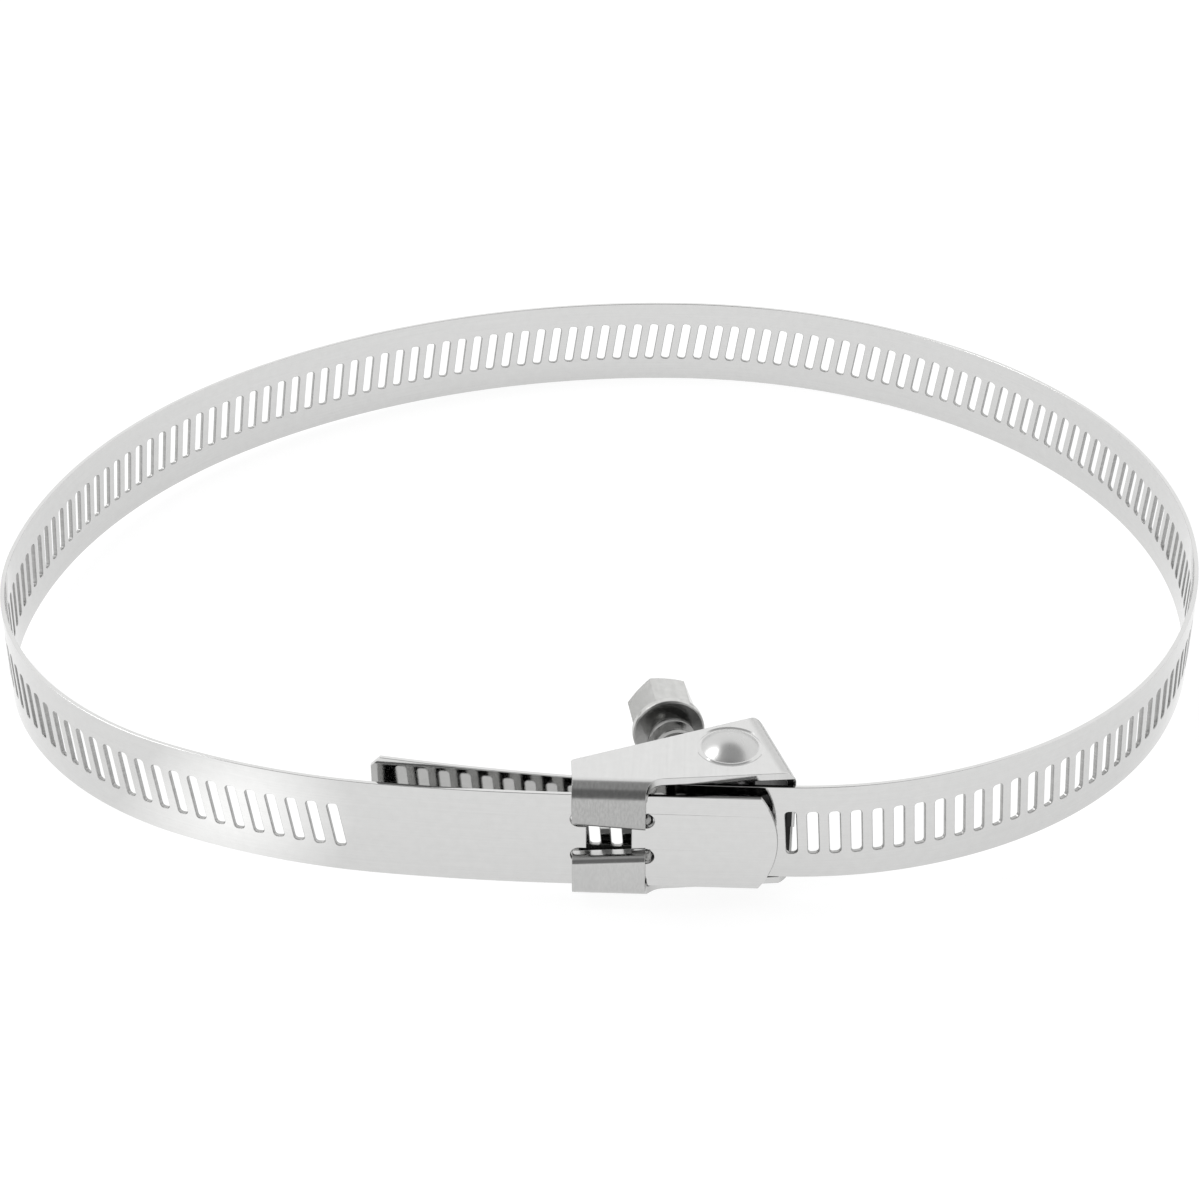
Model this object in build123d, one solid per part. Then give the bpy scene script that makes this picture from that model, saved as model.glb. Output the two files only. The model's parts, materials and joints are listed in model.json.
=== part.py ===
from build123d import *

import math
import os

# A perforated steel band bent into a ring, with a folded housing on its plain end and a worm screw
# that swings out of the housing to free the band. Millimetres, +Z along the ring's axis. The plain
# end runs along X at the front, the housing stands inside the ring behind it, and the band goes
# round counter-clockwise seen from above, from its free tail to the plain end's tongue.

# Band strip
BAND_WIDTH = 12.4
BAND_THICKNESS = 0.55

# Plan of the ring, on the band's middle line. Zero is the middle of the window in the plain end.
RIGHT_X = 72.5
RIGHT_Y = 61.5
REAR_X = 6.0
REAR_Y = 128.0
LEFT_X = -78.3
LEFT_Y = 50.1
FRONT_RIGHT_RATIO = 0.47
REAR_RIGHT_RATIO = 1.84
REAR_LEFT_RATIO = 0.79
FRONT_LEFT_RATIO = 0.42

# Plain end: a straight stretch with a rounded tongue, led in by one flat arc
PLAIN_LEFT_X = -5.0
LEAD_RADIUS = 220.0
LEAD_ANGLE = 5.4
TONGUE_X = 18.85
TONGUE_END_RADIUS = 10.5

# Band where it passes behind the tongue, and its free tail inside the ring
INNER_X = 20.0
INNER_GAP = 1.65
INNER_HEADING = 2.1
TAIL_X = -27.0
TAIL_GAP = 6.1
TAIL_HEADING = -9.3
TAIL_RATIO = 1.0
TAIL_CHAMFER_LENGTH = 1.6
TAIL_CHAMFER_HEIGHT = 3.0

# Slots that the worm runs in
SLOT_PITCH = 2.4615
SLOT_LENGTH = 5.7
SLOT_WIDTH = 1.25
SLOT_LEAN = 9.0
FIRST_SLOT = 2.9
PLAIN_LENGTH = 30.0

# Opening in the plain end: a window for the worm's crests, and a slot at its top and bottom that
# takes the end of a leg. It sits level with the housing.
WINDOW_LENGTH = 5.0
LEG_SLOT_HEIGHT = 1.9
LEG_SLOT_Z = 2.45
LEG_SLOT_RIGHT = 5.05
LEG_SLOT_LEFT = -4.75

# Housing, one folded sheet. It stands a little higher than the band, which hangs on its lower leg.
HOUSING_RISE = 0.35
SHEET = 0.9
EDGE_CLEARANCE = 0.5
FACE_CLEARANCE = 0.4
LEG_WIDTH = 8.2
LEG_BEND = 1.25
LOWER_LEG_BEND = 0.85
TUCK_BEND = 0.1
TUCK_Z = 1.93
TUCK_END_Y = 0.2
TUCK_LEAN = 4.0
CHEEK_LEFT_X = -4.45
CHEEK_LEFT_Y = 3.9
CHEEK_LEFT_RADIUS = 0.5
CORNER_X = 16.97
CORNER_Y = 13.9
CORNER_RADIUS = 1.2
NEAR_X = 20.8
NEAR_Y = 2.55
NEAR_LEG_Y = 0.5
NEAR_LEG_RADIUS = 2.3
LOWER_CUT_X = 17.0
LOWER_CUT_Y = 3.45
WALL_BEND = 0.7
WALL_CLEARANCE = 0.35

# Domes in the cheeks that hold the swivel
DOME_RADIUS = 3.27
DOME_HEIGHT = 1.3
POCKET_RADIUS = 2.6
POCKET_TOP_RADIUS = 1.4
POCKET_DEPTH = 1.3
GROOVE_RADIUS = 3.66
GROOVE_WIDTH = 0.5
GROOVE_DEPTH = 0.12

# Swivel that carries the screw on an arm beside its own axis
PIVOT_X = 13.28
PIVOT_Y = 7.38
PIVOT_RADIUS = 3.0
PIVOT_CLEARANCE = 0.05
END_CLEARANCE = 0.1
SCREW_OFFSET = 4.5
ARM_HALF_WIDTH = 1.95
ARM_BEYOND = 1.95
ARM_CORNER = 1.5
OPEN_ANGLE = 100.3

# Screw, along its own axis from the swivel to the head
NECK_RADIUS = 1.25
NECK_CLEARANCE = 0.05
THRUST_CLEARANCE = 0.1
RIVET_RADIUS = 1.9
RIVET_LENGTH = 0.6
RIVET_CHAMFER = 0.35
WORM_RADIUS = 2.9
WORM_ROOT_RADIUS = 2.0
WORM_START = 6.0
WORM_END = 14.2
CREST_UP = 13.1
THREAD_CREST = 0.65
THREAD_ROOT = 1.4
THREAD_SINK = 0.1
FLANGE_NEAR = 14.8
FLANGE_RADIUS = 4.3
FLANGE_RIM = 0.2
FLANGE_SIDE = 0.9
COLLAR_TOP_RADIUS = 3.5
COLLAR_HEIGHT = 1.2
HEX_ACROSS = 7.2
HEAD_LENGTH = 6.25
HEX_TURN = 10.0
HEX_CHAMFER = 0.35


def unit(heading):
    return Vector(math.cos(math.radians(heading)), math.sin(math.radians(heading)), 0)


def biarc(start, start_heading, end, end_heading, ratio):
    """Point where two tangent arcs between two points with given headings meet."""
    t0 = unit(start_heading)
    t1 = unit(end_heading)
    v = end - start
    sum_of_tangents = t0 + t1 * ratio
    a = (1 + ratio) ** 2 - sum_of_tangents.dot(sum_of_tangents)
    b = v.dot(sum_of_tangents)
    d = (math.sqrt(b * b + a * v.dot(v)) - b) / a
    near = start + t0 * d
    far = end - t1 * (ratio * d)
    return (near * ratio + far) * (1 / (1 + ratio))


def ring_nodes():
    """Corner points of the band's middle line with its heading at each, in order from the tail."""
    lead = math.radians(LEAD_ANGLE)
    lead_start = Vector(
        PLAIN_LEFT_X - LEAD_RADIUS * math.sin(lead), LEAD_RADIUS * (1 - math.cos(lead)), 0
    )
    tail = Vector(TAIL_X, TAIL_GAP + BAND_THICKNESS, 0)
    inner = Vector(INNER_X, INNER_GAP + BAND_THICKNESS, 0)
    stops = [
        (tail, TAIL_HEADING, TAIL_RATIO),
        (inner, INNER_HEADING, FRONT_RIGHT_RATIO),
        (Vector(RIGHT_X, RIGHT_Y, 0), 90, REAR_RIGHT_RATIO),
        (Vector(REAR_X, REAR_Y, 0), 180, REAR_LEFT_RATIO),
        (Vector(LEFT_X, LEFT_Y, 0), 270, FRONT_LEFT_RATIO),
        (lead_start, 360 - LEAD_ANGLE, None),
    ]
    nodes = [(tail, TAIL_HEADING)]
    for (start, heading, ratio), (end, end_heading, _) in zip(stops[:-1], stops[1:]):
        middle = biarc(start, heading, end, end_heading, ratio)
        chord = math.degrees(math.atan2((middle - start).Y, (middle - start).X))
        middle_heading = heading + 2 * ((chord - heading + 180) % 360 - 180)
        nodes += [(middle, middle_heading), (end, end_heading)]
    nodes += [(Vector(PLAIN_LEFT_X, 0, 0), 360), (Vector(TONGUE_X, 0, 0), 360)]
    return nodes


def side_line(nodes, offset):
    """Arcs and lines through the nodes, moved sideways by offset towards the ring's inside."""
    edges = []
    for (start, heading), (end, end_heading) in zip(nodes[:-1], nodes[1:]):
        a = start + unit(heading + 90) * offset
        b = end + unit(end_heading + 90) * offset
        if math.isclose(heading, end_heading):
            edges.append(Edge.make_line(a, b))
        else:
            edges.append(Edge.make_tangent_arc(a, unit(heading), b))
    return edges


def upright(edges, height):
    """A closed outline in plan, drawn up to a prism that is centred on z = 0."""
    return extrude(Face(Wire(edges)), height / 2, both=True)


def band_prism(nodes):
    inner = side_line(nodes, BAND_THICKNESS / 2)
    outer = side_line(nodes, -BAND_THICKNESS / 2)
    caps = [
        Edge.make_line(outer[0] @ 0, inner[0] @ 0),
        Edge.make_line(outer[-1] @ 1, inner[-1] @ 1),
    ]
    return upright(inner + outer + caps, BAND_WIDTH)


def slot_cutters(path):
    """One slanted slot at each pitch along the band, up to the plain end."""
    profile = Rectangle(SLOT_LENGTH, SLOT_WIDTH)
    reach = BAND_THICKNESS * 2
    last = path.length - TONGUE_X - PLAIN_LENGTH
    count = int((last - FIRST_SLOT) / SLOT_PITCH) + 1
    cutters = []
    for i in range(count):
        share = (FIRST_SLOT + i * SLOT_PITCH) / path.length
        point = path @ share
        along = path % share
        outward = along.cross(Vector(0, 0, 1))
        long_side = Vector(0, 0, 1) * math.cos(math.radians(SLOT_LEAN)) - along * math.sin(
            math.radians(SLOT_LEAN)
        )
        plane = Plane(origin=point, x_dir=long_side, z_dir=outward)
        cutters.append(extrude(plane * profile, reach, both=True))
    return cutters


def window_cutters():
    """The window, and the leg slots above and below it with round ends."""
    reach = BAND_THICKNESS
    middle = (LEG_SLOT_LEFT + LEG_SLOT_RIGHT) / 2
    slot = SlotOverall(LEG_SLOT_RIGHT - LEG_SLOT_LEFT, LEG_SLOT_HEIGHT)
    shapes = [Pos(0, HOUSING_RISE) * Rectangle(WINDOW_LENGTH, 2 * LEG_SLOT_Z)]
    shapes += [Pos(middle, HOUSING_RISE + z) * slot for z in (LEG_SLOT_Z, -LEG_SLOT_Z)]
    return [extrude(Plane.XZ * shape, reach, both=True) for shape in shapes]


def tongue_cutter():
    """What lies outside the tongue's round end."""
    reach = BAND_THICKNESS
    block = Pos(TONGUE_X, 0) * Rectangle(2 * TONGUE_END_RADIUS, 2 * BAND_WIDTH)
    round_end = Pos(TONGUE_X - TONGUE_END_RADIUS, 0) * Circle(TONGUE_END_RADIUS)
    keep = Pos(TONGUE_X - TONGUE_END_RADIUS, 0) * Rectangle(TONGUE_END_RADIUS, 2 * BAND_WIDTH)
    return extrude(Plane.XZ * (block - round_end - keep), reach, both=True)


def tail_cutters(path):
    """A slanted corner at the top and bottom of the free tail."""
    tip = path @ 0
    along = path % 0
    top = BAND_WIDTH / 2
    beyond = BAND_THICKNESS
    corner = Polygon(
        (-beyond, top - TAIL_CHAMFER_HEIGHT),
        (0, top - TAIL_CHAMFER_HEIGHT),
        (TAIL_CHAMFER_LENGTH, top),
        (TAIL_CHAMFER_LENGTH, top + beyond),
        (-beyond, top + beyond),
        align=None,
    )
    cutters = []
    for side in (1, -1):
        plane = Plane(origin=tip, x_dir=along, z_dir=along.cross(Vector(0, 0, side)))
        cutters.append(extrude(plane * corner, 2 * BAND_THICKNESS, both=True))
    return cutters


def make_band():
    nodes = ring_nodes()
    path = Wire(side_line(nodes, 0))
    prism = band_prism(nodes)
    return prism - (
        slot_cutters(path) + window_cutters() + [tongue_cutter()] + tail_cutters(path)
    )


def cheek_inside():
    return BAND_WIDTH / 2 + EDGE_CLEARANCE


def leg_back():
    """Y of the leg's face towards the plain end."""
    return -BAND_THICKNESS / 2 - FACE_CLEARANCE


def cheek_outline():
    """Plan of a cheek and of the bend into its leg."""
    half = LEG_WIDTH / 2
    before_leg = leg_back() - 2 * SHEET
    outline = Polygon(
        (-half, before_leg),
        (half, before_leg),
        (half, NEAR_LEG_Y),
        (NEAR_X, NEAR_Y),
        (CORNER_X, CORNER_Y),
        (CHEEK_LEFT_X, CHEEK_LEFT_Y),
        (-half, leg_back() + LEG_BEND),
        align=None,
    )
    for x, y, radius in (
        (half, NEAR_LEG_Y, NEAR_LEG_RADIUS),
        (CORNER_X, CORNER_Y, CORNER_RADIUS),
        (CHEEK_LEFT_X, CHEEK_LEFT_Y, CHEEK_LEFT_RADIUS),
    ):
        corner = outline.vertices().sort_by_distance((x, y, 0))[0]
        outline = fillet(corner, radius)
    return outline


def folded_channel():
    """Both cheeks and the end wall as one bent section, drawn along the end wall."""
    corner = Vector(CORNER_X, CORNER_Y, 0)
    along = (Vector(NEAR_X, NEAR_Y, 0) - corner).normalized()
    inward = Vector(along.Y, -along.X, 0)
    inside = cheek_inside()
    outside = inside + SHEET
    arm = 2 * NEAR_X
    outer = Pos(arm, 0) * RectangleRounded(2 * arm, 2 * outside, WALL_BEND + SHEET)
    inner = Pos(arm + SHEET, 0) * RectangleRounded(2 * arm, 2 * inside, WALL_BEND)
    kept = Pos(arm / 2, 0) * Rectangle(arm, 2 * outside)
    plane = Plane(origin=corner - along * arm, x_dir=inward, z_dir=along)
    return extrude(plane * ((outer - inner) & kept), 2 * arm)


def bent_sheet(y, z, radius, z_side):
    """Quarter of a bend about (y, z), towards the front, drawn in the YZ plane."""
    size = radius + SHEET
    corner = Pos(-size / 2, z_side * size / 2) * Rectangle(size, size)
    return Plane.YZ * Pos(y, z) * ((Circle(size) - Circle(radius)) & corner)


def before_bend(radius):
    """What lies in front of the upper cheek's flat part."""
    size = 4 * NEAR_X
    return Pos(0, leg_back() + radius - size / 2, BAND_WIDTH / 2) * Box(size, size, BAND_WIDTH)


def leg(outline, radius):
    """Leg over the plain end's top edge: a bend, a front face and a slanted end tucked in."""
    back = leg_back()
    middle = back - SHEET / 2
    bend_y = back + radius
    bend_z = cheek_inside() - radius
    tuck_y = back + TUCK_BEND
    tuck_z = TUCK_Z + SHEET + TUCK_BEND
    lap = SHEET
    bend = extrude(bent_sheet(bend_y, bend_z, radius, 1), NEAR_X, both=True) & outline
    face_height = bend_z - tuck_z - lap
    face = Pos(0, middle, bend_z - face_height / 2) * Box(LEG_WIDTH, SHEET, face_height)
    stem = Plane.YZ * Pos(middle, tuck_z + lap) * Rectangle(SHEET, 2 * lap)
    tip_length = TUCK_END_Y - tuck_y
    tip = Plane.YZ * Pos(tuck_y + tip_length / 2, TUCK_Z + SHEET / 2) * Rectangle(tip_length, SHEET)
    hook = extrude(bent_sheet(tuck_y, tuck_z, TUCK_BEND, -1) + stem + tip, LEG_WIDTH, both=True)
    hook = Pos(0, 0, TUCK_Z) * Rot(0, TUCK_LEAN, 0) * Pos(0, 0, -TUCK_Z) * hook
    return bend + face + (hook & Box(LEG_WIDTH, BAND_WIDTH, BAND_WIDTH))


def dome_sphere():
    """Radius and centre height of the dome's outer sphere."""
    radius = (DOME_RADIUS**2 + DOME_HEIGHT**2) / (2 * DOME_HEIGHT)
    return radius, cheek_inside() + SHEET + DOME_HEIGHT - radius


def dome_cap():
    """Dome on the upper cheek, cut from a ball that lies with its poles at its sides."""
    radius, centre = dome_sphere()
    top = cheek_inside() + SHEET
    side = 4 * DOME_RADIUS
    above = Pos(0, 0, top - GROOVE_DEPTH + DOME_HEIGHT) * Box(side, side, 2 * DOME_HEIGHT)
    return Pos(PIVOT_X, PIVOT_Y) * (Pos(0, 0, centre) * Rot(90, 0, 0) * Sphere(radius) & above)


def pivot_cone(clearance):
    """Tapered pocket in the upper cheek's dome, or the swivel's end that fits it with clearance."""
    slope = (POCKET_RADIUS - POCKET_TOP_RADIUS) / POCKET_DEPTH
    side = clearance * math.sqrt(1 + slope**2)
    height = POCKET_DEPTH + END_CLEARANCE - clearance
    bottom_radius = POCKET_RADIUS + END_CLEARANCE * slope - side
    middle = cheek_inside() - END_CLEARANCE + height / 2
    return Pos(PIVOT_X, PIVOT_Y, middle) * Cone(bottom_radius, bottom_radius - height * slope, height)


def dome_groove():
    """Shallow ring pressed into the cheek round the dome."""
    top = cheek_inside() + SHEET
    half = GROOVE_WIDTH / 2
    section = Polygon(
        (GROOVE_RADIUS - half, top + GROOVE_DEPTH),
        (GROOVE_RADIUS - half, top),
        (GROOVE_RADIUS, top - GROOVE_DEPTH),
        (GROOVE_RADIUS + half, top),
        (GROOVE_RADIUS + half, top + GROOVE_DEPTH),
        align=None,
    )
    return Pos(PIVOT_X, PIVOT_Y) * revolve(Plane.XZ * section, Axis.Z)


def make_housing():
    outline = extrude(cheek_outline(), BAND_WIDTH, both=True)
    shell = folded_channel() & outline
    # The end wall stops short of the band that runs past it
    passage_y = INNER_GAP + 1.5 * BAND_THICKNESS + WALL_CLEARANCE
    passage = Pos(NEAR_X, passage_y - NEAR_X) * Box(2 * NEAR_X, 2 * NEAR_X, 2 * cheek_inside())
    # The lower cheek's near corner is cut off behind the band
    cut = Polygon(
        (LOWER_CUT_X, LOWER_CUT_Y - NEAR_Y),
        (2 * NEAR_X, LOWER_CUT_Y - NEAR_Y),
        (2 * NEAR_X, LOWER_CUT_Y),
        (NEAR_X, LOWER_CUT_Y),
        align=None,
    )
    shell -= [
        passage,
        extrude(cut, -BAND_WIDTH),
        before_bend(LEG_BEND),
        mirror(before_bend(LOWER_LEG_BEND), Plane.XY),
    ]
    cap = dome_cap()
    shell += [leg(outline, LEG_BEND), mirror(leg(outline, LOWER_LEG_BEND), Plane.XY)]
    shell += [cap, mirror(cap, Plane.XY)]
    removed = [dome_groove(), pivot_cone(0)]
    shell -= removed + [mirror(piece, Plane.XY) for piece in removed]
    return Pos(0, 0, HOUSING_RISE) * shell


def screw_plane():
    """Plane whose Z runs along the screw's axis from the point beside the pivot."""
    along = unit(OPEN_ANGLE)
    beside = unit(OPEN_ANGLE + 90)
    origin = Vector(PIVOT_X, PIVOT_Y, HOUSING_RISE) + beside * SCREW_OFFSET
    return Plane(origin=origin, x_dir=beside, z_dir=along)


def make_swivel():
    """Upright post with tapered ends in the cheeks, and an arm with a cross hole for the screw."""
    height = cheek_inside() - END_CLEARANCE
    length = SCREW_OFFSET + ARM_BEYOND
    arm = Pos(length / 2, 0) * Rectangle(length, 2 * ARM_HALF_WIDTH)
    arm = fillet(arm.vertices().group_by(Axis.X)[-1], ARM_CORNER)
    plan = Pos(PIVOT_X, PIVOT_Y) * Rot(0, 0, OPEN_ANGLE + 90) * (arm + Circle(PIVOT_RADIUS))
    end = pivot_cone(PIVOT_CLEARANCE)
    body = extrude(plan, height, both=True) + end + mirror(end, Plane.XY)
    hole = screw_plane() * Cylinder(NECK_RADIUS + NECK_CLEARANCE, 4 * ARM_HALF_WIDTH)
    return Pos(0, 0, HOUSING_RISE) * body - hole


def helix(radius, start, turns, angle):
    line = Helix(SLOT_PITCH, turns * SLOT_PITCH, radius)
    return (Pos(0, 0, start) * Rot(0, 0, angle) * line).edge()


def worm_thread(start, end):
    """Ridge of the worm: four ruled faces between helices, closed at both ends."""
    turns = (end - start) / SLOT_PITCH
    # The crest passes the top of the worm at the height CREST_UP
    angle = 90 - 360 * (CREST_UP - start) / SLOT_PITCH
    root = WORM_ROOT_RADIUS - THREAD_SINK
    lines = [
        helix(root, start - THREAD_ROOT / 2, turns, angle),
        helix(WORM_RADIUS, start - THREAD_CREST / 2, turns, angle),
        helix(WORM_RADIUS, start + THREAD_CREST / 2, turns, angle),
        helix(root, start + THREAD_ROOT / 2, turns, angle),
    ]
    faces = [
        Face.make_surface_from_curves(one, other)
        for one, other in zip(lines, lines[1:] + lines[:1])
    ]
    for place in (0, 1):
        corners = [line @ place for line in lines]
        faces.append(Face(Wire.make_polygon(corners, close=True)))
    return Solid(Shell(faces))


def cylinder_between(radius, bottom, top):
    return Pos(0, 0, (bottom + top) / 2) * Cylinder(radius, top - bottom)


def make_screw():
    """Neck and rivet through the swivel, worm, flange and hexagon, about Z, then set in place."""
    seat = ARM_HALF_WIDTH + THRUST_CLEARANCE
    rivet = cylinder_between(RIVET_RADIUS, -seat - RIVET_LENGTH, -seat)
    rivet = chamfer(rivet.edges().sort_by(Axis.Z)[0], RIVET_CHAMFER)
    neck = cylinder_between(NECK_RADIUS, -seat, seat)
    core = cylinder_between(WORM_ROOT_RADIUS, seat, FLANGE_NEAR)
    side_top = FLANGE_NEAR + FLANGE_SIDE
    collar_top = side_top + COLLAR_HEIGHT
    flange = cylinder_between(FLANGE_RADIUS, FLANGE_NEAR, side_top)
    flange = chamfer(flange.edges().group_by(Axis.Z)[0], FLANGE_RIM)
    collar = Pos(0, 0, (side_top + collar_top) / 2) * Cone(
        FLANGE_RADIUS, COLLAR_TOP_RADIUS, COLLAR_HEIGHT
    )
    head_top = FLANGE_NEAR + HEAD_LENGTH
    profile = Rot(0, 0, HEX_TURN) * RegularPolygon(HEX_ACROSS / 2, 6, major_radius=False)
    hexagon = Pos(0, 0, side_top) * extrude(profile, head_top - side_top)
    crown = cylinder_between(HEX_ACROSS / math.sqrt(3), side_top, head_top)
    crown = chamfer(crown.edges().group_by(Axis.Z)[-1], HEX_CHAMFER, 2 * HEX_CHAMFER)
    thread = worm_thread(WORM_START, WORM_END)
    return screw_plane() * (rivet + neck + core + thread + flange + collar + (hexagon & crown))


def build():
    parts = {
        "band": make_band(),
        "housing": make_housing(),
        "swivel": make_swivel(),
        "screw": make_screw(),
    }
    middle = Compound(list(parts.values())).bounding_box().center()
    return {name: Pos(-middle.X, -middle.Y, -middle.Z) * part for name, part in parts.items()}


def main():
    os.makedirs("parts", exist_ok=True)
    for name, part in build().items():
        export_step(part, f"parts/{name}.step")


main()
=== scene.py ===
import json
import math

import bmesh
import bpy
from mathutils import Matrix, Vector, noise
from mathutils.geometry import tessellate_polygon


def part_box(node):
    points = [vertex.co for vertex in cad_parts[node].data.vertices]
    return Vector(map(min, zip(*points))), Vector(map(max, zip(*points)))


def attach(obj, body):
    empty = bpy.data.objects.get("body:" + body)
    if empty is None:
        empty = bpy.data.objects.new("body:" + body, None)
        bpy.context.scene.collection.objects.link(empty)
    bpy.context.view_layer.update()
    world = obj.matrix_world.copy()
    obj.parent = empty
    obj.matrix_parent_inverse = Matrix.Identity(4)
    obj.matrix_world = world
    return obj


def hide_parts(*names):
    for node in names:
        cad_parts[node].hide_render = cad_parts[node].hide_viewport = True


# A perforated band clamp bent into a ring, with its folded housing and swung-out screw, on a white
# studio floor. Metres, +Z along the ring's axis. The band is drawn again here, with rounded slot
# corners and softened edges. It follows the solid, apart from three things: the loose tail lies
# nearer to the plain end and rises a little, its end has smaller slanted corners and its slots
# stand more upright, and the leg slots are a little shorter. Two lumps of squeezed metal are added
# at the leg slots. The other pieces keep their solids.

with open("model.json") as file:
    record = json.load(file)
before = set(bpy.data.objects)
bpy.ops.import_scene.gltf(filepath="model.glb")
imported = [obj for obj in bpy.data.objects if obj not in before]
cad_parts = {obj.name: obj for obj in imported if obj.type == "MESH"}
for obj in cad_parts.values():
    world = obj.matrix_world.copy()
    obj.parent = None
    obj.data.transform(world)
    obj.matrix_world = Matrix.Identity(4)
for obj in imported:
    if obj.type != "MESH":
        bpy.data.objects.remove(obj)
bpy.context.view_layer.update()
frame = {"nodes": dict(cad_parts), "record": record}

MM = 0.001

# Camera, at the photograph's place
CAMERA_PLACE = Vector((12.70, -301.23, 175.23)) * MM
CAMERA_HEADING = 92.6
CAMERA_PITCH = 33.39
CAMERA_LENS = 79.25
CAMERA_SENSOR = 36.0
CAMERA_SHIFT_UP = 0.0833
CAMERA_NEAR = 0.01
CAMERA_FAR = 20.0

# Band strip and the plan of the ring, in millimetres
BAND_WIDTH = 12.4
BAND_THICKNESS = 0.55
PLAIN_LEFT_X = -5.0
LEAD_RADIUS = 220.0
LEAD_ANGLE = 5.4
TONGUE_X = 18.85
TONGUE_END_RADIUS = 10.5
RING_STOPS = [
    # x, y, heading, ratio of the two arcs that follow
    (-26.8, 3.35, -5.0, 1.0),
    (20.0, 2.2, 2.1, 0.47),
    (72.5, 61.5, 90.0, 1.84),
    (6.0, 128.0, 180.0, 0.79),
    (-78.3, 50.1, 270.0, 0.42),
]

# Loose tail, which rises towards its tip and has slanted corners there
TAIL_RISE = 2.1
TAIL_RISE_LENGTH = 62.0
TAIL_CHAMFER_LENGTH = 1.1
TAIL_CHAMFER_HEIGHT = 1.2

# Slots
SLOT_PITCH = 2.4615
SLOT_LENGTH = 5.7
SLOT_WIDTH = 1.25
SLOT_CORNER = 0.42
TAIL_LEAN = math.radians(4.0)
FULL_LEAN = math.radians(9.0)
LEAN_FROM = 60.0
LEAN_TO = 150.0
SLOT_ZONE = 3.2
FIRST_SLOT = 2.9
PLAIN_LENGTH = 30.0

# Window and leg slots in the plain end
OPENING_RISE = 0.35
WINDOW_LENGTH = 5.0
LEG_SLOT_HEIGHT = 1.9
LEG_SLOT_Z = 2.45
LEG_SLOT_RIGHT = 5.05
LEG_SLOT_LEFT = -4.3

# Softened edge of the strip, and how far from its long edges a wall counts as punched
EDGE = 0.09
SHARP_TURN = math.radians(40)
CUT_MARGIN = 1.5

# A turn or bend below this counts as none
STRAIGHT = 1e-9

# How finely the strip is divided
CORNER_STEPS = 4
LEG_SLOT_STEPS = 12
TONGUE_STEPS = 24
PLAIN_STEP = 2.0

# Squeezed metal at the right ends of the leg slots: x, z and half sizes
BURRS = [
    (4.25, 2.75, 0.42, 0.62),
    (4.35, -2.2, 0.48, 0.7),
]
BURR_DEPTH = 0.4
BURR_Y = -0.35
BURR_UNEVENNESS = 0.16
BURR_LUMPS = 2.2
BURR_OCTAVES = 4
BURR_SUBDIVISIONS = 4

# Plan from the middle of the window, in millimetres: the band's leftmost face, and the far and the
# near end of the housing's end wall
BAND_LEFT = RING_STOPS[-1][0] - BAND_THICKNESS / 2
WALL_FAR = (16.97, 13.9)
WALL_NEAR = (20.8, 2.55)

# Places with a tint of their own, in millimetres: darker grey on the legs and domes, and painted
# shade on the end wall's fold, inside the housing and under the screw's flange. A pair is where the
# tint is full and where it has faded out. The legs are measured from the housing's front and middle,
# the fold from the end wall's outer face and the plan's zero, and the flange's near face from the
# screw's joint.
LEG_REACH = (1.2, 2.4)
UPPER_LEG_Z = (0.5, 0.0)
FOLD_REACH = (1.3, 2.1)
FOLD_Y = (3.0, 2.0)
DOME_RADIUS = 3.27
DOME_FADE = 0.1
CHEEK_INSIDE = 6.75
INSIDE_Y = 0.3
INSIDE_DEPTH = 0.3
FLANGE_NEAR = 14.95

# How strongly the legs are tinted darker and roughened, and how much more the upper one is
LEG_SHARE = 0.45
UPPER_LEG_MORE = 0.4

# Steel colours: rolled sheet, screw, punched walls, darker grey for the legs and domes, and
# painted shade for the end wall's fold, inside the housing and under the screw's flange. The burrs
# are toned between the legs' grey and the dark grey of the flange's painted shade.
BRIGHT = (0.68, 0.68, 0.675)
DULL = (0.64, 0.64, 0.635)
SCREW_BRIGHT = (0.62, 0.62, 0.61)
SCREW_DULL = (0.5, 0.5, 0.49)
CUT_BRIGHT = (0.52, 0.52, 0.515)
CUT_DULL = (0.38, 0.38, 0.375)
LEG_GREY = (0.36, 0.36, 0.355)
FOLD_SHADE = (0.5, 0.5, 0.495)
SHADED = (0.03, 0.03, 0.03)
DOMED = (0.56, 0.56, 0.555)
FLANGE_SHADE_AND_BURR_GREY = (0.3, 0.3, 0.295)

# How rough each steel is, and how far its sharp edges look rounded
BAND_ROUGHNESS = 0.06
CUT_ROUGHNESS = 0.35
BURR_ROUGHNESS = 0.3
HOUSING_ROUGHNESS = 0.1
SWIVEL_ROUGHNESS = 0.3
SCREW_ROUGHNESS = 0.16
HOUSING_SOFT_EDGE = 0.12 * MM
SCREW_SOFT_EDGE = 0.15 * MM

# Noise in the steel: how often it varies along each axis, per metre, and how strong it is
FLAT_STREAKS = (80.0, 5000.0, 1.0)
UPRIGHT_STREAKS = (60.0, 60.0, 6000.0)
ACROSS_STREAKS = (3000.0, 150.0, 150.0)
CRUMPLE = (5000.0, 1600.0, 1600.0)
MOTTLE = (900.0, 900.0, 900.0)
MOTTLE_DETAIL = 5.0
WAVE = (120.0, 120.0, 120.0)
WAVE_HEIGHT = 6.0
STREAK_HEIGHT = 0.25
CRUMPLE_HEIGHT = 2.0
DULL_ROUGHER = 0.04
BRIGHT_SMOOTHER = 0.02
BUMP_STRENGTH = 0.15
BUMP_DEPTH = 0.02 * MM

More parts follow.
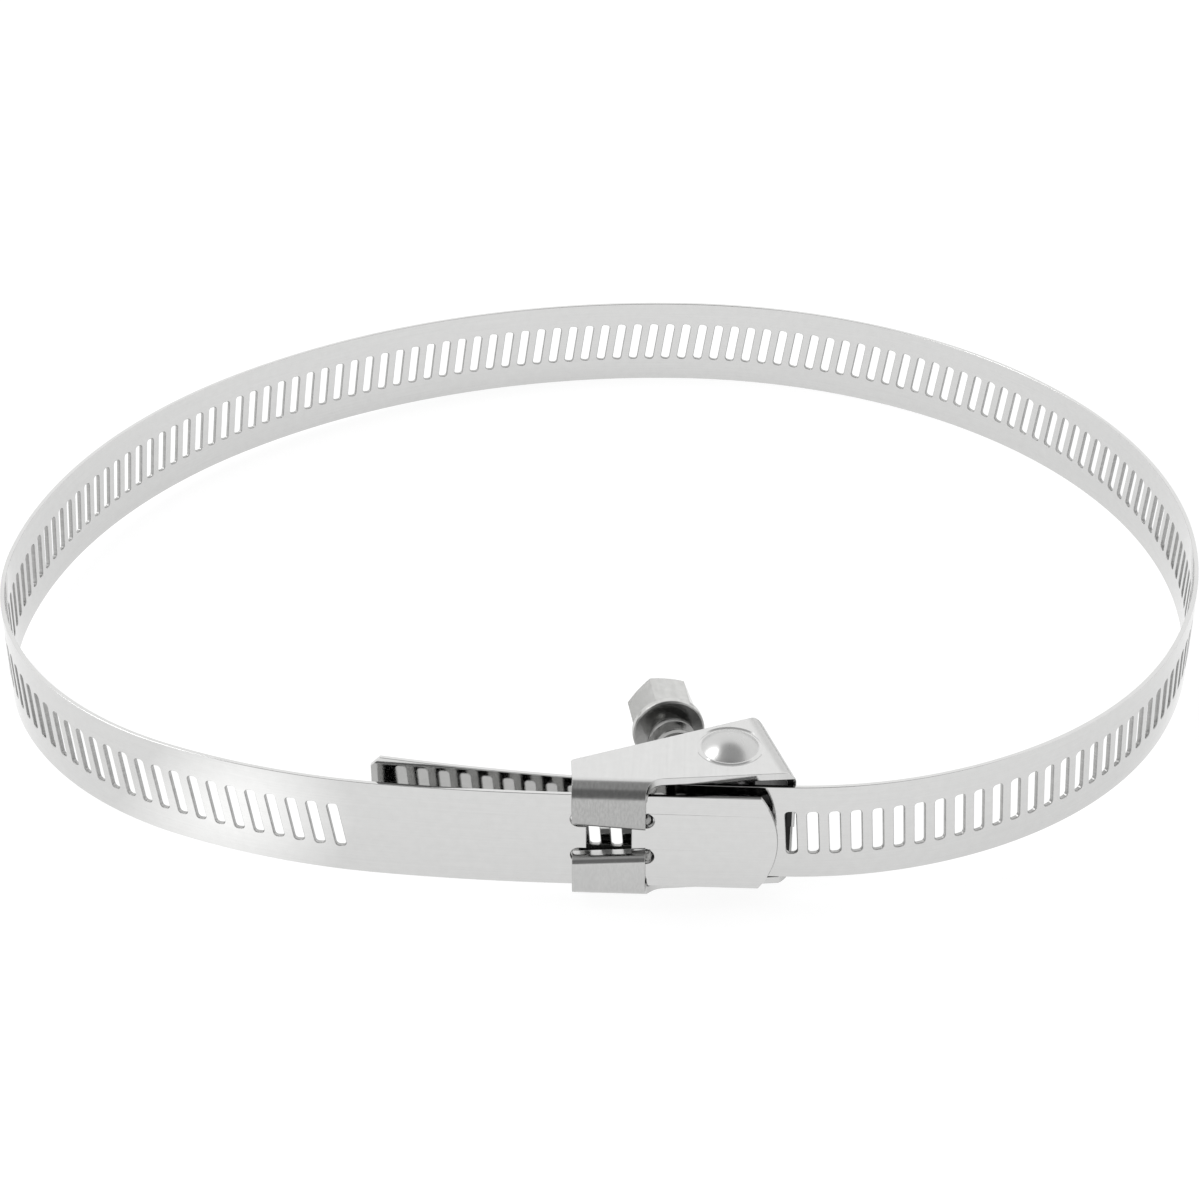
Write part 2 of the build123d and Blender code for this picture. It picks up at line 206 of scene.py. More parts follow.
# Studio: a bright room behind the object, a dim ceiling and a dark side behind the camera. Each
# patch of the sky has the two angles between which it fades, and is squeezed to stand upright.
ROOM_LEVEL = 1.12
CEILING = Vector((0.0, -0.34, 0.94))
CEILING_LEVEL = 0.45
CEILING_EDGE = (58, 44)
DARK_SIDE = Vector((0.0, -0.84, 0.54))
DARK_LEVEL = 0.2
DARK_EDGE = (36, 22)
SQUEEZE = 1.5

# How much of the floor's brightness is lit paper, with its shadow, and how much is even
PAPER = 0.8
CAMERA_PAPER = 0.25
CAMERA_GLOW = 0.85
GLOSSY_PAPER = 0.3
GLOSSY_GLOW = 0.76
PAPER_ROUGHNESS = 0.9
# A glowing patch on the floor, seen only by the steel, in metres: painted light that shows as a painted
# highlight on the band
GLINT_POOL = (-0.049, -0.010, 0.0)
GLINT_POOL_CORE = 0.003
GLINT_POOL_RADIUS = 0.019
GLINT_POOL_GLOW = 0.45
FLOOR_HALF_SIZE = 3.0

# Soft lamp, in metres and watts
LAMP_PLACE = Vector((-0.7, 0.1, 0.8))
LAMP_SIZE = 0.5
LAMP_POWER = 2.5


def make_camera():
    data = bpy.data.cameras.new("camera")
    data.sensor_width = CAMERA_SENSOR
    data.lens = CAMERA_LENS
    data.shift_y = CAMERA_SHIFT_UP
    data.clip_start = CAMERA_NEAR
    data.clip_end = CAMERA_FAR
    camera = bpy.data.objects.new("camera", data)
    turn = Matrix.Rotation(math.radians(CAMERA_HEADING - 90), 4, "Z")
    tilt = Matrix.Rotation(math.radians(90 - CAMERA_PITCH), 4, "X")
    camera.matrix_world = Matrix.Translation(CAMERA_PLACE) @ turn @ tilt
    bpy.context.scene.collection.objects.link(camera)
    bpy.context.scene.camera = camera


def unit(angle):
    return Vector((math.cos(angle), math.sin(angle)))


def biarc(start, start_angle, end, end_angle, ratio):
    """Point where two tangent arcs between two points with given headings meet."""
    start_way = unit(start_angle)
    end_way = unit(end_angle)
    chord = end - start
    ways = start_way + end_way * ratio
    square = (1 + ratio) ** 2 - ways.dot(ways)
    linear = chord.dot(ways)
    reach = (math.sqrt(linear * linear + square * chord.dot(chord)) - linear) / square
    near = start + start_way * reach
    far = end - end_way * (ratio * reach)
    return (near * ratio + far) / (1 + ratio)


class Path:
    """The band's middle line in plan: arcs and lines from the free tail to the tongue."""

    def __init__(self):
        self.pieces = []
        self.length = 0.0
        corners = self.corners()
        for (start, angle), (end, end_angle) in zip(corners[:-1], corners[1:]):
            turn = end_angle - angle
            length = (end - start).length
            if abs(turn) > STRAIGHT:
                length *= turn / (2 * math.sin(turn / 2))
            self.pieces.append((self.length, start, angle, turn / length))
            self.length += length

    def corners(self):
        """Places and headings where one arc or line ends and the next begins."""
        lead = math.radians(LEAD_ANGLE)
        lead_x = PLAIN_LEFT_X - LEAD_RADIUS * math.sin(lead)
        lead_y = LEAD_RADIUS * (1 - math.cos(lead))
        stops = [(Vector((x, y)), math.radians(heading), ratio) for x, y, heading, ratio in RING_STOPS]
        stops.append((Vector((lead_x, lead_y)), 2 * math.pi - lead, None))
        corners = [stops[0][:2]]
        for (start, angle, ratio), (end, end_angle, _) in zip(stops[:-1], stops[1:]):
            middle = biarc(start, angle, end, end_angle, ratio)
            chord = math.atan2(middle.y - start.y, middle.x - start.x)
            turn = (chord - angle + math.pi) % (2 * math.pi) - math.pi
            corners += [(middle, angle + 2 * turn), (end, end_angle)]
        corners.append((Vector((PLAIN_LEFT_X, 0.0)), 2 * math.pi))
        corners.append((Vector((TONGUE_X, 0.0)), 2 * math.pi))
        return corners

    def at(self, s):
        """Point and heading at the length s from the tail."""
        first, start, angle, bend = [p for p in self.pieces if p[0] <= max(s, 0.0)][-1]
        new_angle = angle + bend * (s - first)
        if abs(bend) < STRAIGHT:
            return start + unit(angle) * (s - first), angle
        swing = Vector((math.sin(new_angle) - math.sin(angle), math.cos(angle) - math.cos(new_angle)))
        return start + swing / bend, new_angle


class FlatStrip:
    """Points and faces of the strip laid flat: millimetres along it and across it."""

    def __init__(self):
        self.points = []
        self.index = {}
        self.faces = []

    def add_point(self, s, z):
        key = (round(s, 4), round(z, 4))
        if key not in self.index:
            self.index[key] = len(self.points)
            self.points.append(Vector((s, z)))
        return self.index[key]

    def add_face(self, corners):
        face = [self.add_point(*corner) for corner in corners]
        area = sum(
            self.points[a].cross(self.points[b]) for a, b in zip(face, face[1:] + face[:1])
        )
        self.faces.append(face if area > 0 else face[::-1])

    def fill(self, outlines):
        """Triangles between an outline and the holes in it."""
        corners = [corner for outline in outlines for corner in outline]
        loops = [[Vector((s, z, 0)) for s, z in outline] for outline in outlines]
        for triangle in tessellate_polygon(loops):
            self.add_face([corners[i] for i in triangle])

    def join_columns(self, left, right):
        for k in range(len(left) - 1):
            self.add_face([left[k], right[k], right[k + 1], left[k + 1]])

    def rim(self):
        """Edges that only one face uses, as the next point after each point on a rim."""
        used = {}
        for face in self.faces:
            for a, b in zip(face, face[1:] + face[:1]):
                used[(a, b)] = True
        return {a: b for a, b in used if (b, a) not in used}


def arc(centre, radius, start, end, steps):
    turns = [start + (end - start) * k / steps for k in range(steps + 1)]
    return [(centre[0] + radius * math.cos(t), centre[1] + radius * math.sin(t)) for t in turns]


def slot_corner_points():
    """One quarter of a slot's outline from its long side, each with its partner on the cell's edge."""
    centre_u = SLOT_WIDTH / 2 - SLOT_CORNER
    centre_v = SLOT_LENGTH / 2 - SLOT_CORNER
    quarter = []
    for k, (u, v) in enumerate(arc((centre_u, centre_v), SLOT_CORNER, 0, math.pi / 2, CORNER_STEPS)):
        outer_u = SLOT_PITCH / 2 if 2 * k <= CORNER_STEPS else u
        outer_v = SLOT_ZONE if 2 * k >= CORNER_STEPS else v
        quarter.append(((u, v), (outer_u, outer_v)))
    return quarter


def slot_ring():
    """The whole outline of a slot and its partners, counter-clockwise."""
    quarter = slot_corner_points()
    ring = []
    for side_u, side_v in ((1, 1), (-1, 1), (-1, -1), (1, -1)):
        corner = [((u * side_u, v * side_v), (a * side_u, b * side_v)) for (u, v), (a, b) in quarter]
        ring += corner if side_u * side_v > 0 else corner[::-1]
    return ring


def slot_lean(s):
    """Slots stand nearly upright by the tail and slant further on."""
    share = min(max((s - LEAN_FROM) / (LEAN_TO - LEAN_FROM), 0.0), 1.0)
    return TAIL_LEAN + (FULL_LEAN - TAIL_LEAN) * share


def on_slot(middle, u, v):
    lean = slot_lean(middle)
    return middle + u * math.cos(lean) - v * math.sin(lean), u * math.sin(lean) + v * math.cos(lean)


def on_cell(middle, u, v):
    return middle + u - v * math.sin(slot_lean(middle + u)), v * math.cos(FULL_LEAN)


def cell_column(middle, side):
    """Points along one edge of a slot's cell, from the strip's lower edge to its upper edge."""
    heights = sorted({b for _, (a, b) in slot_corner_points() if a == SLOT_PITCH / 2})
    rows = [-v for v in reversed(heights)] + heights
    column = [on_cell(middle, side * SLOT_PITCH / 2, v) for v in rows]
    low = (column[0][0], -BAND_WIDTH / 2)
    high = (column[-1][0], BAND_WIDTH / 2)
    return [low] + column + [high]


def add_cell(strip, middle):
    """The strip round one slot."""
    ring = slot_ring()
    for (inner, outer), (next_inner, next_outer) in zip(ring, ring[1:] + ring[:1]):
        strip.add_face(
            [
                on_slot(middle, *inner),
                on_cell(middle, *outer),
                on_cell(middle, *next_outer),
                on_slot(middle, *next_inner),
            ]
        )
    widths = sorted({a for _, (a, b) in slot_corner_points() if b == SLOT_ZONE})
    across = [-u for u in reversed(widths)] + widths
    for side in (1, -1):
        inside_row = [on_cell(middle, u, side * SLOT_ZONE) for u in across]
        edge_row = [(s, side * BAND_WIDTH / 2) for s, _ in inside_row]
        strip.join_columns(inside_row, edge_row)


def add_tail(strip, middle):
    """The free tail with its slanted corners, up to the far edge of the first slot's cell."""
    half = BAND_WIDTH / 2
    shoulder = half - TAIL_CHAMFER_HEIGHT
    column = cell_column(middle, 1)
    outline = [(0, shoulder), (0, -shoulder), (TAIL_CHAMFER_LENGTH, -half)] + column
    outline.append((TAIL_CHAMFER_LENGTH, half))
    slot = [on_slot(middle, *inner) for inner, _ in slot_ring()]
    strip.fill([outline, slot[::-1]])


def opening_outline(zero):
    """Window with a round-ended slot at its top and bottom."""
    radius = LEG_SLOT_HEIGHT / 2
    half = WINDOW_LENGTH / 2
    right = LEG_SLOT_RIGHT - radius
    left = LEG_SLOT_LEFT + radius
    step = LEG_SLOT_Z - radius
    quarter = math.pi / 2
    shape = [(half, -step), (half, step)]
    shape += arc((right, LEG_SLOT_Z), radius, -quarter, quarter, LEG_SLOT_STEPS)
    shape += arc((left, LEG_SLOT_Z), radius, quarter, 3 * quarter, LEG_SLOT_STEPS)
    shape += [(-half, step), (-half, -step)]
    shape += arc((left, -LEG_SLOT_Z), radius, quarter, 3 * quarter, LEG_SLOT_STEPS)
    shape += arc((right, -LEG_SLOT_Z), radius, -quarter, quarter, LEG_SLOT_STEPS)
    return [(zero + x, z + OPENING_RISE) for x, z in shape]


def add_plain_end(strip, path, last_column):
    """The plain stretch after the last slot, its opening and the round tongue."""
    flat_from = path.length - TONGUE_X + PLAIN_LEFT_X
    first = last_column[0][0]
    count = round((flat_from - first) / PLAIN_STEP)
    column = last_column
    for k in range(1, count + 1):
        s = first + (flat_from - first) * k / count
        new_column = [(s, z) for _, z in last_column]
        strip.join_columns(column, new_column)
        column = new_column
    centre = (path.length - TONGUE_END_RADIUS, 0.0)
    open_angle = math.asin(BAND_WIDTH / 2 / TONGUE_END_RADIUS)
    tongue = arc(centre, TONGUE_END_RADIUS, -open_angle, open_angle, TONGUE_STEPS)
    opening = opening_outline(path.length - TONGUE_X)
    strip.fill([column[::-1] + tongue, opening])


def flat_band(path):
    strip = FlatStrip()
    last = path.length - TONGUE_X - PLAIN_LENGTH
    count = int((last - FIRST_SLOT) / SLOT_PITCH) + 1
    middles = [FIRST_SLOT + k * SLOT_PITCH for k in range(count)]
    add_tail(strip, middles[0])
    for middle in middles[1:]:
        add_cell(strip, middle)
    add_plain_end(strip, path, cell_column(middles[-1], 1))
    return strip


def rim_normals(strip, following):
    """For each rim edge its outward direction, and for each rim point the mean of its two edges."""
    edge = {}
    for a, b in following.items():
        along = (strip.points[b] - strip.points[a]).normalized()
        edge[a] = Vector((along.y, -along.x))
    before = {b: a for a, b in following.items()}
    corner = {}
    for a in following:
        mean = edge[a] + edge[before[a]]
        corner[a] = mean.normalized() / max(0.5, mean.length / 2)
    return edge, before, corner


def tail_rise(s):
    """The loose tail stands a little higher than the rest of the band."""
    return TAIL_RISE * max(0.0, 1 - s / TAIL_RISE_LENGTH) ** 2


class Shell:
    """Both faces of the strip and its softened rims, with a normal at every corner."""

    def __init__(self, path, strip):
        self.path = path
        self.strip = strip
        self.points = []
        self.faces = []
        self.normals = []
        self.places = []
        self.cut = []
        # For each point of the strip: its points on both faces and on the wall between, and the
        # direction of the inner face
        self.outer = []
        self.inner = []
        self.wall_outer = {}
        self.wall_inner = {}
        self.facing = []

    def frame_at(self, s):
        point, angle = self.path.at(s)
        along = Vector((math.cos(angle), math.sin(angle), 0))
        inward = Vector((-math.sin(angle), math.cos(angle), 0))
        return Vector((point.x, point.y, 0)), along, inward

    def add_point(self, flat, depth):
        point, _, inward = self.frame_at(flat.x)
        height = Vector((0, 0, flat.y + tail_rise(flat.x)))
        self.points.append((point + inward * depth + height) * MM)
        self.places.append((flat.x * MM, flat.y * MM))
        return len(self.points) - 1

    def direction(self, flat, outward):
        _, along, _ = self.frame_at(flat.x)
        return (along * outward.x + Vector((0, 0, outward.y))).normalized()

    def add_face(self, corners, normals, cut=False):
        self.faces.append(corners)
        self.normals += normals
        self.cut.append(cut)

    def build(self):
        following = self.strip.rim()
        edge, before, corner = rim_normals(self.strip, following)
        self.add_points(corner)
        self.add_sides()
        for a, b in following.items():
            at_a = self.wall_normal(a, edge[a], edge[before[a]])
            at_b = self.wall_normal(b, edge[a], edge[b])
            self.add_wall(a, b, at_a, at_b)

    def add_points(self, corner):
        half = BAND_THICKNESS / 2
        for i, flat in enumerate(self.strip.points):
            _, _, inward = self.frame_at(flat.x)
            self.facing.append(inward)
            drawn = flat - corner[i] * EDGE if i in corner else flat
            self.outer.append(self.add_point(drawn, -half))
            self.inner.append(self.add_point(drawn, half))
            if i in corner:
                self.wall_outer[i] = self.add_point(flat, EDGE - half)
                self.wall_inner[i] = self.add_point(flat, half - EDGE)

    def add_sides(self):
        for face in self.strip.faces:
            self.add_face([self.outer[i] for i in face], [-self.facing[i] for i in face])
            back = face[::-1]
            self.add_face([self.inner[i] for i in back], [self.facing[i] for i in back])

    def add_wall(self, a, b, at_a, at_b):
        """The wall on one rim edge, between two softened edges."""
        cut = abs(self.strip.points[a].y) < BAND_WIDTH / 2 - CUT_MARGIN
        self.add_face(
            [self.outer[b], self.outer[a], self.wall_outer[a], self.wall_outer[b]],
            [-self.facing[b], -self.facing[a], at_a, at_b],
            cut,
        )
        self.add_face(
            [self.wall_outer[b], self.wall_outer[a], self.wall_inner[a], self.wall_inner[b]],
            [at_b, at_a, at_a, at_b],
            cut,
        )
        self.add_face(
            [self.wall_inner[b], self.wall_inner[a], self.inner[a], self.inner[b]],
            [at_b, at_a, self.facing[a], self.facing[b]],
            cut,
        )

    def wall_normal(self, i, own, other):
        turn = own.angle(other)
        mean = own if turn > SHARP_TURN else (own + other).normalized()
        return self.direction(self.strip.points[i], mean)


def set_on_solid(mesh):
    """Move the drawn band to where the solid one is, by the lowest corners of their boxes."""
    lows = Vector([min(v.co[k] for v in mesh.vertices) for k in range(3)])
    mesh.transform(Matrix.Translation(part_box("band")[0] - lows))
    mesh.update()


def make_band(material, cut_material):
    path = Path()
    shell = Shell(path, flat_band(path))
    shell.build()
    mesh = bpy.data.meshes.new("band_fine")
    mesh.from_pydata(shell.points, [], shell.faces)
    mesh.shade_smooth()
    mesh.normals_split_custom_set(shell.normals)
    strip_uv = mesh.uv_layers.new(name="strip")
    for loop in mesh.loops:
        strip_uv.data[loop.index].uv = shell.places[loop.vertex_index]
    mesh.materials.append(material)
    mesh.materials.append(cut_material)
    for face, cut in zip(mesh.polygons, shell.cut):
        face.material_index = int(cut)
    band = bpy.data.objects.new("band_fine", mesh)
    bpy.context.scene.collection.objects.link(band)
    set_on_solid(mesh)
    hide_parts("band")
    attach(band, "ring")


def plan_point(x, y):
    """A point of the plan, in millimetres from the middle of the window, as a place in the frame."""
    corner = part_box("band")[0]
    return Vector((corner.x, corner.y, 0)) + Vector((x - BAND_LEFT, y + BAND_THICKNESS / 2, 0)) * MM


def make_burrs(material):
    """Crumpled lumps where the legs' ends are pressed into their slots."""
    mesh = bpy.data.meshes.new("leg_burrs")
    shape = bmesh.new()
    for x, z, half_x, half_z in BURRS:
        made = bmesh.ops.create_icosphere(shape, subdivisions=BURR_SUBDIVISIONS, radius=1.0)
        centre = plan_point(x, BURR_Y) + Vector((0, 0, z * MM))
        for vert in made["verts"]:
            place = vert.co * BURR_LUMPS + Vector((x, 0, z))
            lump = 1 + BURR_UNEVENNESS * noise.fractal(place, 1.0, 2.0, BURR_OCTAVES)
            size = Vector((half_x, BURR_DEPTH, half_z)) * (lump * MM)
            vert.co = centre + vert.co * size
    shape.to_mesh(mesh)
    shape.free()
    mesh.shade_smooth()
    mesh.materials.append(material)
    burrs = bpy.data.objects.new("leg_burrs", mesh)
    bpy.context.scene.collection.objects.link(burrs)
    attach(burrs, "ring")


class Nodes:
    """Short way to add and join shader nodes in one tree."""

    def __init__(self, tree):
        self.tree = tree
        self.tree.nodes.clear()

    def add(self, kind, inputs=None, **values):
        node = self.tree.nodes.new(kind)
        for key, value in values.items():
            setattr(node, key, value)
        for key, value in (inputs or {}).items():
            if isinstance(value, bpy.types.NodeSocket):
                self.tree.links.new(value, node.inputs[key])
            else:
                node.inputs[key].default_value = value
        return node

    def math(self, operation, a, b=0.0):
        return self.add("ShaderNodeMath", {0: a, 1: b}, operation=operation).outputs[0]

    def vector(self, operation, a, b):
        return self.add("ShaderNodeVectorMath", {0: a, 1: b}, operation=operation)

    def noise(self, place, scale, detail=3.0):
        """Smooth noise about 0.5, with its own scale along each axis."""
        spread = self.add("ShaderNodeMapping", {"Vector": place, "Scale": scale})
        node = self.add(
            "ShaderNodeTexNoise", {"Vector": spread.outputs[0], "Scale": 1.0, "Detail": detail}
        )
        return node.outputs[0]

    def ramp(self, value, low, high, from_low=0.3, from_high=0.7):
        node = self.add(
            "ShaderNodeMapRange",
            {"Value": value, "From Min": from_low, "From Max": from_high, "To Min": low, "To Max": high},
        )
        return node.outputs[0]

    def beyond(self, value, start, full):
        """Zero up to start and one from full on, with a soft step between."""
        node = self.add(
            "ShaderNodeMapRange",
            {"Value": value, "From Min": start, "From Max": full},
            interpolation_type="SMOOTHSTEP",
        )
        return node.outputs[0]

    def mix(self, factor, first, second):
        """Mix of two colours, inputs 6 and 7 of the node."""
        node = self.add("ShaderNodeMix", {"Factor": factor, 6: first, 7: second}, data_type="RGBA")
        return node.outputs[2]

    def mix_level(self, share, first, second):
        """Mix of two numbers, inputs 2 and 3 of the node."""
        node = self.add("ShaderNodeMix", {"Factor": share, 2: first, 3: second}, data_type="FLOAT")
        return node.outputs[0]


def new_material(name):
    material = bpy.data.materials.new(name)
    material.use_nodes = True
    return material, Nodes(material.node_tree)


def steel(name, bright, dull, roughness, streaks, place="Object", soft_edge=0.0, regions=()):
    """Rolled steel: streaks, a fine mottle in colour and roughness, and a faint unevenness.

    Each region is a function for its share at a place, a colour, how much rougher it is,
    and how blotchy."""
    material, nodes = new_material(name)
    where = nodes.add("ShaderNodeTexCoord").outputs[place]
    streak = nodes.noise(where, streaks)
    mottle = nodes.noise(where, MOTTLE, MOTTLE_DETAIL)
    wave = nodes.noise(where, WAVE, 1.0)
    tone = nodes.math("ADD", nodes.math("MULTIPLY", streak, 0.5), nodes.math("MULTIPLY", mottle, 0.5))
    colour = nodes.mix(nodes.ramp(tone, 0.0, 1.0), (*dull, 1.0), (*bright, 1.0))
    rough = nodes.ramp(tone, roughness + DULL_ROUGHER, roughness - BRIGHT_SMOOTHER)
    wave_height = nodes.math("MULTIPLY", wave, WAVE_HEIGHT)
    height = nodes.math("ADD", wave_height, nodes.math("MULTIPLY", streak, STREAK_HEIGHT))
    crumple = nodes.noise(where, CRUMPLE)
    for region, tint, rougher, blotches in regions:
        share = region(nodes, where)
        amount = nodes.math("MULTIPLY", share, nodes.ramp(crumple, 1.0 - blotches, 1.0))
        colour = nodes.mix(amount, colour, (*tint, 1.0))
        rough = nodes.math("ADD", rough, nodes.math("MULTIPLY", share, rougher))
        bumps = nodes.math("MULTIPLY", nodes.math("MULTIPLY", crumple, share), CRUMPLE_HEIGHT)
        height = nodes.math("ADD", height, bumps)
    bump_inputs = {"Height": height, "Strength": BUMP_STRENGTH, "Distance": BUMP_DEPTH}
    if soft_edge:
        rounded = nodes.add("ShaderNodeBevel", {"Radius": soft_edge}, samples=6)
        bump_inputs["Normal"] = rounded.outputs[0]
    bump = nodes.add("ShaderNodeBump", bump_inputs)
    shader = nodes.add(
        "ShaderNodeBsdfPrincipled",
        {"Base Color": colour, "Metallic": 1.0, "Roughness": rough, "Normal": bump.outputs[0]},
    )
    nodes.add("ShaderNodeOutputMaterial", {"Surface": shader.outputs[0]})
    return material


def split(nodes, where):
    return nodes.add("ShaderNodeSeparateXYZ", {"Vector": where}).outputs


def wall_depth(nodes, where):
    """Depth behind the outer face of the housing's end wall."""
    far = plan_point(*WALL_FAR)
    along = (plan_point(*WALL_NEAR) - far).normalized()
    inward = Vector((along.y, -along.x, 0))
    offset = nodes.vector("SUBTRACT", where, far)
    return nodes.vector("DOT_PRODUCT", offset.outputs[0], inward).outputs["Value"]


def legs(nodes, where):
    """The legs in front of the plain end, the upper one more than the lower one."""
    parts = split(nodes, where)
    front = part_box("housing")[0].y
    full, none = LEG_REACH
    in_front = nodes.beyond(parts["Y"], front + none * MM, front + full * MM)
    upper = nodes.beyond(parts["Z"], UPPER_LEG_Z[1] * MM, UPPER_LEG_Z[0] * MM)
    strength = nodes.math("ADD", nodes.math("MULTIPLY", upper, UPPER_LEG_MORE), LEG_SHARE)
    return nodes.math("MULTIPLY", strength, in_front)


def wall_fold(nodes, where):
    """The end wall and the bends beside it, where shade is painted in."""
    full_y, no_y = FOLD_Y
    full_depth, no_depth = FOLD_REACH
    behind = nodes.beyond(split(nodes, where)["Y"], plan_point(0, no_y).y, plan_point(0, full_y).y)
    near_wall = nodes.beyond(wall_depth(nodes, where), no_depth * MM, full_depth * MM)
    return nodes.math("MULTIPLY", behind, near_wall)


def inside(nodes, where):
    """The faces that look into the housing, behind the plain end."""
    parts = split(nodes, where)
    low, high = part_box("housing")
    middle = (low.z + high.z) / 2
    height = nodes.math("ABSOLUTE", nodes.math("SUBTRACT", parts["Z"], middle))
    between = nodes.math("LESS_THAN", height, CHEEK_INSIDE * MM)
    behind = nodes.math("GREATER_THAN", parts["Y"], plan_point(0, INSIDE_Y).y)
    deep = nodes.math("GREATER_THAN", wall_depth(nodes, where), INSIDE_DEPTH * MM)
    return nodes.math("MULTIPLY", nodes.math("MULTIPLY", between, behind), deep)


def joint(name):
    return next(j for j in frame["record"]["behaviour"]["joints"] if j["name"] == name)


def dome(nodes, where):
    """The pressed domes, above and below the swivel's ends."""
    level = nodes.vector("MULTIPLY", where, (1, 1, 0))
    middle = joint("screw_swing")["pos_m"]
    away = nodes.vector("DISTANCE", level.outputs[0], middle).outputs["Value"]
    return nodes.beyond(away, (DOME_RADIUS + DOME_FADE) * MM, (DOME_RADIUS - DOME_FADE) * MM)


def under_flange(nodes, where):
    """Worm, neck and underside of the flange along the screw's axis, where shade is painted."""
    turn = joint("screw_turn")
    offset = nodes.vector("SUBTRACT", where, turn["pos_m"])
    along = nodes.vector("DOT_PRODUCT", offset.outputs[0], turn["axis"]).outputs["Value"]
    return nodes.math("LESS_THAN", along, FLANGE_NEAR * MM)


def dress(node, material):
    mesh = frame["nodes"][node].data
    mesh.materials.clear()
    mesh.materials.append(material)


def dress_housing():
    # Darker, rougher legs and domes; painted shade on the end wall's fold and inside the housing
    # Share, colour, how much rougher, how blotchy
    regions = [
        (legs, LEG_GREY, 0.14, 0.3),
        (wall_fold, FOLD_SHADE, 0.1, 0.3),
        (dome, DOMED, 0.18, 0.1),
        (inside, SHADED, 0.2, 0.0),
    ]
    material = steel(
        "housing_steel",
        BRIGHT,
        DULL,
        HOUSING_ROUGHNESS,
        ACROSS_STREAKS,
        soft_edge=HOUSING_SOFT_EDGE,
        regions=regions,
    )
    dress("housing", material)


def dress_screw():
    material = steel(
        "screw_steel",
        SCREW_BRIGHT,
        SCREW_DULL,
        SCREW_ROUGHNESS,
        UPRIGHT_STREAKS,
        soft_edge=SCREW_SOFT_EDGE,
        # The worm, neck and flange's underside get painted shade
        regions=[(under_flange, FLANGE_SHADE_AND_BURR_GREY, 0.05, 0.2)],
    )
    dress("screw", material)


def patch(nodes, direction, centre, edge):
    """One inside an upright patch of the sky and zero outside, with the two angles of its edge."""
    wide, narrow = edge
    squeezed = nodes.vector("MULTIPLY", direction, (SQUEEZE, 1, 1))
    plain = nodes.add("ShaderNodeVectorMath", {0: squeezed.outputs[0]}, operation="NORMALIZE")
    towards = nodes.vector("DOT_PRODUCT", plain.outputs[0], centre.normalized())
    from_wide = math.cos(math.radians(wide))
    from_narrow = math.cos(math.radians(narrow))
    return nodes.beyond(towards.outputs["Value"], from_wide, from_narrow)


def make_world():
    world = bpy.data.worlds.new("studio")
    world.use_nodes = True
    bpy.context.scene.world = world
    nodes = Nodes(world.node_tree)
    path = nodes.add("ShaderNodeLightPath")
    seen = nodes.math("MAXIMUM", path.outputs["Is Camera Ray"], path.outputs["Is Transmission Ray"])
    direction = nodes.add("ShaderNodeTexCoord").outputs["Generated"]
    in_ceiling = patch(nodes, direction, CEILING, CEILING_EDGE)
    in_dark = patch(nodes, direction, DARK_SIDE, DARK_EDGE)
    ceiling = nodes.mix_level(in_ceiling, ROOM_LEVEL, CEILING_LEVEL)
    room = nodes.mix_level(in_dark, ceiling, DARK_LEVEL)
    level = nodes.mix_level(seen, room, 1.0)
    background = nodes.add("ShaderNodeBackground", {"Color": (1.0, 1.0, 1.0, 1.0), "Strength": level})
    nodes.add("ShaderNodeOutputWorld", {"Surface": background.outputs[0]})


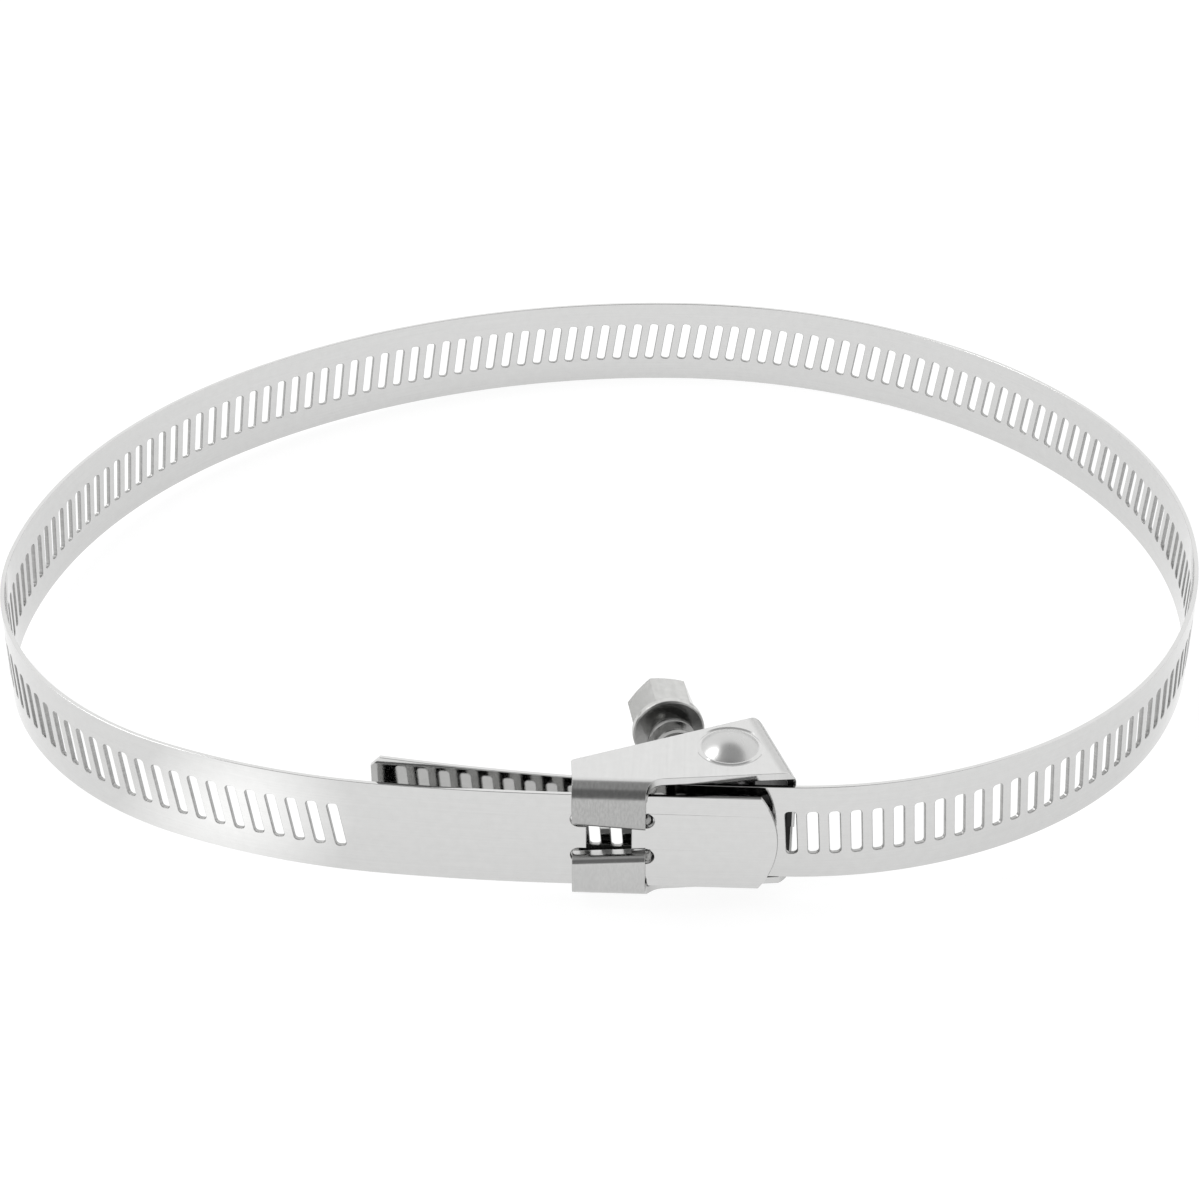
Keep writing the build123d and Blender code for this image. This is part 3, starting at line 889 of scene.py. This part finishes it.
def floor_paper():
    """The camera sees white with a faint shadow, and the steel sees the paper with its full shadow."""
    material, nodes = new_material("floor_paper")
    path = nodes.add("ShaderNodeLightPath")
    camera = path.outputs["Is Camera Ray"]
    glossy = path.outputs["Is Glossy Ray"]
    paper = nodes.mix_level(camera, nodes.mix_level(glossy, PAPER, GLOSSY_PAPER), CAMERA_PAPER)
    place = nodes.add("ShaderNodeTexCoord").outputs["Object"]
    # The steel also sees a glowing patch on the floor: a painted pool of light for a painted highlight
    away = nodes.vector("DISTANCE", place, GLINT_POOL).outputs["Value"]
    painted_glint = nodes.ramp(away, GLINT_POOL_GLOW, 0.0, GLINT_POOL_CORE, GLINT_POOL_RADIUS)
    even = nodes.math("ADD", painted_glint, GLOSSY_GLOW)
    glow = nodes.mix_level(camera, nodes.mix_level(glossy, 0.0, even), CAMERA_GLOW)
    shade = nodes.add("ShaderNodeCombineColor", {0: paper, 1: paper, 2: paper})
    shader = nodes.add(
        "ShaderNodeBsdfPrincipled",
        {
            "Base Color": shade.outputs[0],
            "Roughness": PAPER_ROUGHNESS,
            "Specular IOR Level": 0.0,
            "Emission Color": (1.0, 1.0, 1.0, 1.0),
            "Emission Strength": glow,
        },
    )
    nodes.add("ShaderNodeOutputMaterial", {"Surface": shader.outputs[0]})
    return material


def make_floor():
    """A wide pale floor, tilted as the part leans on its lower dome and the band's rear edge."""
    band_low, band_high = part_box("band")
    housing_low, housing_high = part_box("housing")
    front = (housing_low.y + housing_high.y) / 2
    lean = math.atan2(band_low.z - housing_low.z, band_high.y - front)
    half = FLOOR_HALF_SIZE
    mesh = bpy.data.meshes.new("floor")
    corners = [(-half, -half, 0), (half, -half, 0), (half, half, 0), (-half, half, 0)]
    mesh.from_pydata(corners, [], [(0, 1, 2, 3)])
    mesh.materials.append(floor_paper())
    floor = bpy.data.objects.new("floor", mesh)
    floor.matrix_world = Matrix.Translation((0, front, housing_low.z)) @ Matrix.Rotation(lean, 4, "X")
    bpy.context.scene.collection.objects.link(floor)


def make_lamp():
    data = bpy.data.lights.new("side", "AREA")
    data.shape = "RECTANGLE"
    data.size = LAMP_SIZE
    data.size_y = LAMP_SIZE
    data.energy = LAMP_POWER
    lamp = bpy.data.objects.new("side", data)
    lamp.location = LAMP_PLACE
    lamp.rotation_euler = (-LAMP_PLACE).to_track_quat("-Z", "Y").to_euler()
    bpy.context.scene.collection.objects.link(lamp)


make_camera()
make_world()
make_floor()
make_lamp()
bpy.context.scene.view_settings.view_transform = "Standard"

sheet_steel = steel("band_steel", BRIGHT, DULL, BAND_ROUGHNESS, FLAT_STREAKS, place="UV")
cut_steel = steel("cut_steel", CUT_BRIGHT, CUT_DULL, CUT_ROUGHNESS, UPRIGHT_STREAKS)
make_band(sheet_steel, cut_steel)
# The burrs are toned between the legs' grey and the dark grey of the flange's painted shade
make_burrs(steel("burr_steel", LEG_GREY, FLANGE_SHADE_AND_BURR_GREY, BURR_ROUGHNESS, UPRIGHT_STREAKS))
dress_housing()
dress("swivel", steel("swivel_steel", CUT_BRIGHT, CUT_DULL, SWIVEL_ROUGHNESS, UPRIGHT_STREAKS))
dress_screw()
